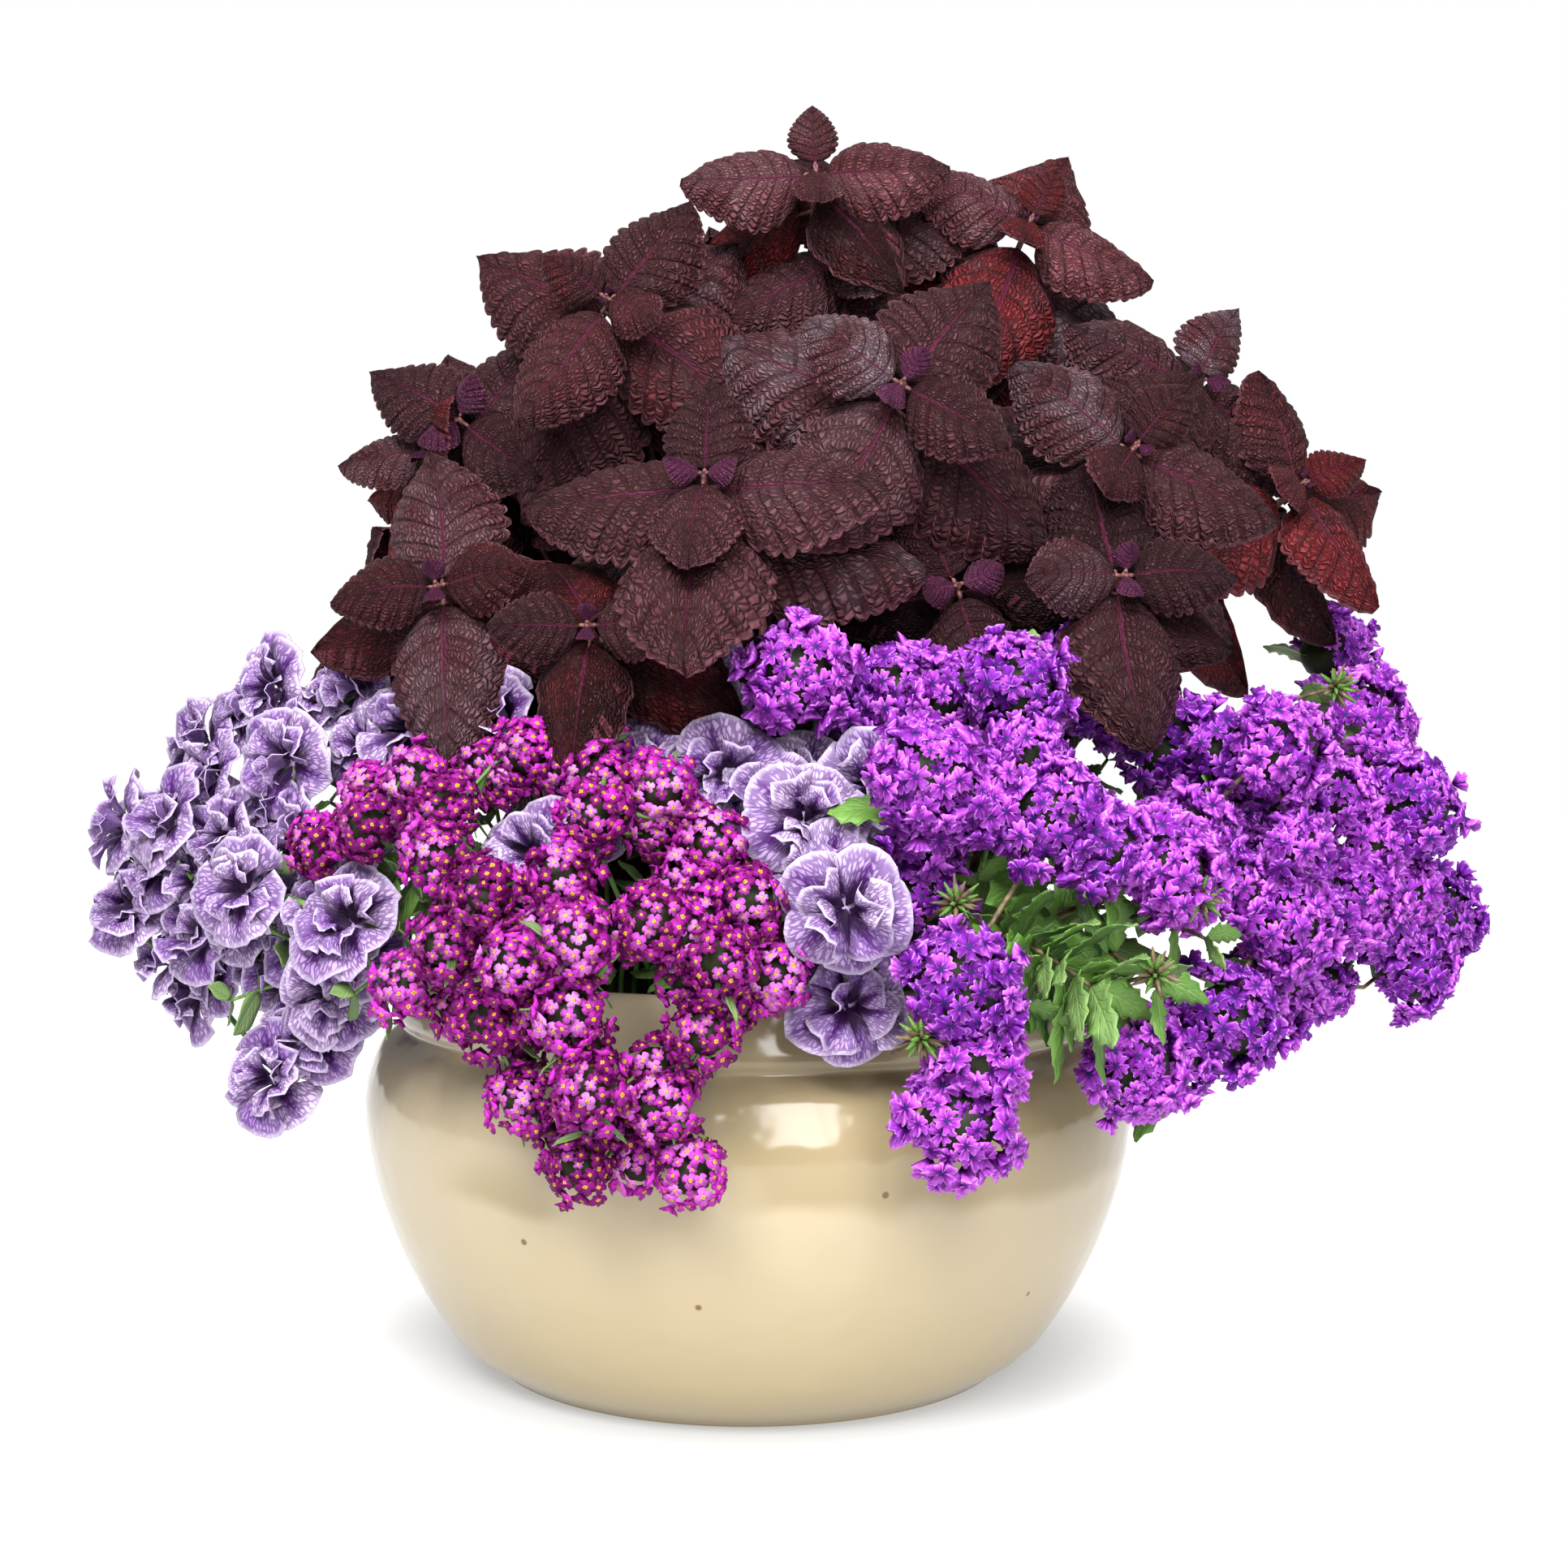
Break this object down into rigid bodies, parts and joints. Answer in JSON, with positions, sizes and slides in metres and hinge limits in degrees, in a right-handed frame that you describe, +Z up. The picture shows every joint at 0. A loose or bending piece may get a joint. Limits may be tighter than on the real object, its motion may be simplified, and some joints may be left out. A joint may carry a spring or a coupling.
{
  "type": "verbena planter",
  "caption": "Glazed bowl planted with trailing verbena, double petunias and sweet alyssum below upright dark coleus.",
  "frame": {"origin": "middle of the bowl's foot, on the surface that it stands on", "axes": "+Z up, -Y towards the front, +X to the right seen from the front"},
  "size_m": [0.7271, 0.507, 0.6344],
  "materials": {
    "glaze": "gloss",
    "soil": "matte",
    "coleus": "satin",
    "foliage": "satin",
    "petunia": "matte",
    "verbena": "matte",
    "alyssum": "matte"
  },
  "bodies": {
    "root": {"pot": "glaze", "soil": "soil", "coleus_1": "coleus", "coleus_2": "coleus", "coleus_3": "coleus", "coleus_4": "coleus", "coleus_5": "coleus", "coleus_6": "coleus", "coleus_7": "coleus", "coleus_8": "coleus", "coleus_9": "coleus", "coleus_10": "coleus", "coleus_11": "coleus", "coleus_12": "coleus", "coleus_13": "coleus", "coleus_14": "coleus", "coleus_15": "coleus", "coleus_16": "coleus", "coleus_17": "coleus", "coleus_18": "coleus", "coleus_19": "coleus", "coleus_20": "coleus", "coleus_21": "coleus", "coleus_22": "coleus", "verbena_leaves": "foliage", "petunia_1": "petunia", "petunia_2": "petunia", "petunia_3": "petunia", "petunia_4": "petunia", "petunia_5": "petunia", "petunia_6": "petunia", "petunia_7": "petunia", "petunia_8": "petunia", "verbena_1": "verbena", "verbena_2": "verbena", "verbena_3": "verbena", "verbena_4": "verbena", "verbena_5": "verbena", "verbena_6": "verbena", "verbena_7": "verbena", "verbena_8": "verbena", "verbena_9": "verbena", "verbena_10": "verbena", "alyssum_1": "alyssum", "alyssum_2": "alyssum", "alyssum_3": "alyssum", "alyssum_4": "alyssum", "alyssum_5": "alyssum", "alyssum_6": "alyssum", "alyssum_7": "alyssum", "alyssum_8": "alyssum", "alyssum_9": "alyssum", "alyssum_10": "alyssum"}
  },
  "joints": []
}
